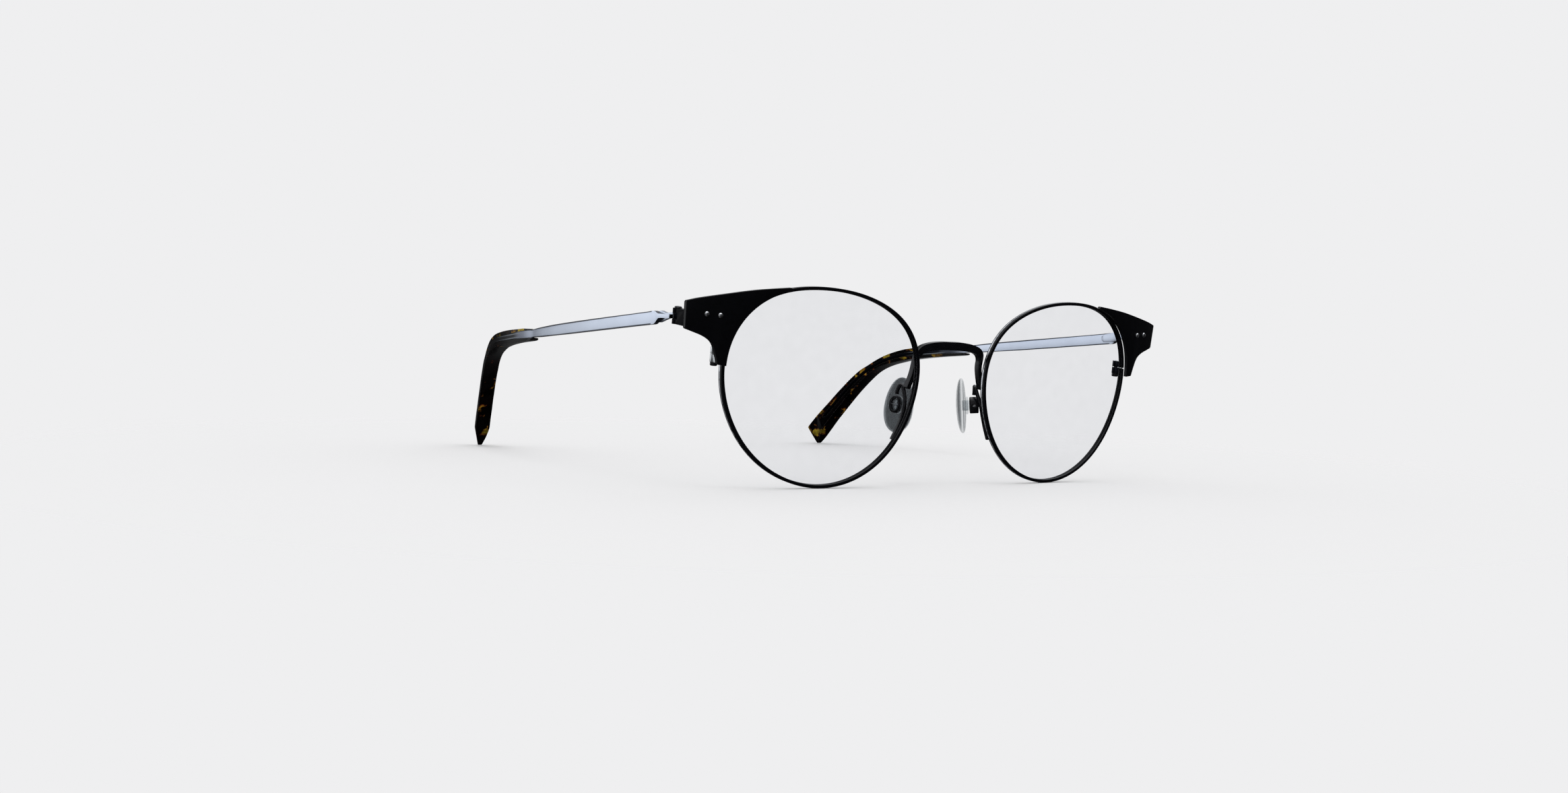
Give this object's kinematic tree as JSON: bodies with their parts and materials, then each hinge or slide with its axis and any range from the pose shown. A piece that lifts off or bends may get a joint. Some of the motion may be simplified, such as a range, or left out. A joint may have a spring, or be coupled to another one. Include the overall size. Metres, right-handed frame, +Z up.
{
  "type": "eyeglasses",
  "caption": "Metal eyeglasses with round-cornered eyewires, riveted brow plates, saddle bridge, rocking nose pads, folding metal temples and forked tortoiseshell tips.",
  "frame": {"origin": "centre of the footprint at the level of the surface the glasses stand on, on the mirror plane between the lenses", "axes": "+X to the wearer's left, the front faces -Y and the temples run towards +Y, +Z up"},
  "size_m": [0.143, 0.1478, 0.0447],
  "materials": {
    "frame_lacquer": "satin black lacquer over steel",
    "brow_lacquer": "satin black lacquer with bright worn edges",
    "temple_steel": "satin silver with a cool blue cast",
    "lock_steel": "satin silver",
    "rivet_steel": "polished",
    "screw_dark": "blackened steel",
    "tortoise_acetate": "polished dark tortoiseshell acetate with amber patches",
    "pad_silicone": "clear grey silicone",
    "insert_clear": "clear moulded plastic",
    "lens_clear": "clear, polished"
  },
  "bodies": {
    "front": {"bridge": "frame_lacquer", "eyewire_left": "frame_lacquer", "lens_left": "lens_clear", "brow_plate_left": "brow_lacquer", "rivet_inner_left": "rivet_steel", "rivet_outer_left": "rivet_steel", "front_hinge_left": "frame_lacquer", "hinge_screw_left": "screw_dark", "rim_lock_upper_left": "lock_steel", "rim_lock_lower_left": "lock_steel", "rim_lock_screw_left": "screw_dark", "pad_arm_left": "frame_lacquer", "pad_box_left": "frame_lacquer", "pad_pin_left": "rivet_steel", "eyewire_right": "frame_lacquer", "lens_right": "lens_clear", "brow_plate_right": "brow_lacquer", "rivet_inner_right": "rivet_steel", "rivet_outer_right": "rivet_steel", "front_hinge_right": "frame_lacquer", "hinge_screw_right": "screw_dark", "rim_lock_upper_right": "lock_steel", "rim_lock_lower_right": "lock_steel", "rim_lock_screw_right": "screw_dark", "pad_arm_right": "frame_lacquer", "pad_box_right": "frame_lacquer", "pad_pin_right": "rivet_steel"},
    "temple_left": {"temple_hinge_left": "frame_lacquer", "temple_blade_left": "temple_steel", "temple_tip_left": "tortoise_acetate"},
    "pad_left": {"pad_insert_left": "insert_clear", "nose_pad_left": "pad_silicone"},
    "temple_right": {"temple_hinge_right": "frame_lacquer", "temple_blade_right": "temple_steel", "temple_tip_right": "tortoise_acetate"},
    "pad_right": {"pad_insert_right": "insert_clear", "nose_pad_right": "pad_silicone"}
  },
  "joints": [
    {"name": "temple_fold_left", "type": "hinge", "parent": "front", "child": "temple_left", "pos_m": [0.0678, -0.06274, 0.03704], "axis": [0, -0.1095, 0.994], "range_deg": [0, 86]},
    {"name": "temple_fold_right", "type": "hinge", "parent": "front", "child": "temple_right", "pos_m": [-0.0678, -0.06274, 0.03704], "axis": [0, 0.1095, -0.994], "range_deg": [0, 81]},
    {"name": "pad_rock_left", "type": "hinge", "parent": "front", "child": "pad_left", "pos_m": [0.01176, -0.06627, 0.01889], "axis": [0.5736, 0.8142, 0.0897], "range_deg": [-8, 8]},
    {"name": "pad_rock_right", "type": "hinge", "parent": "front", "child": "pad_right", "pos_m": [-0.01176, -0.06627, 0.01889], "axis": [-0.5736, 0.8142, 0.0897], "range_deg": [-8, 8]}
  ]
}
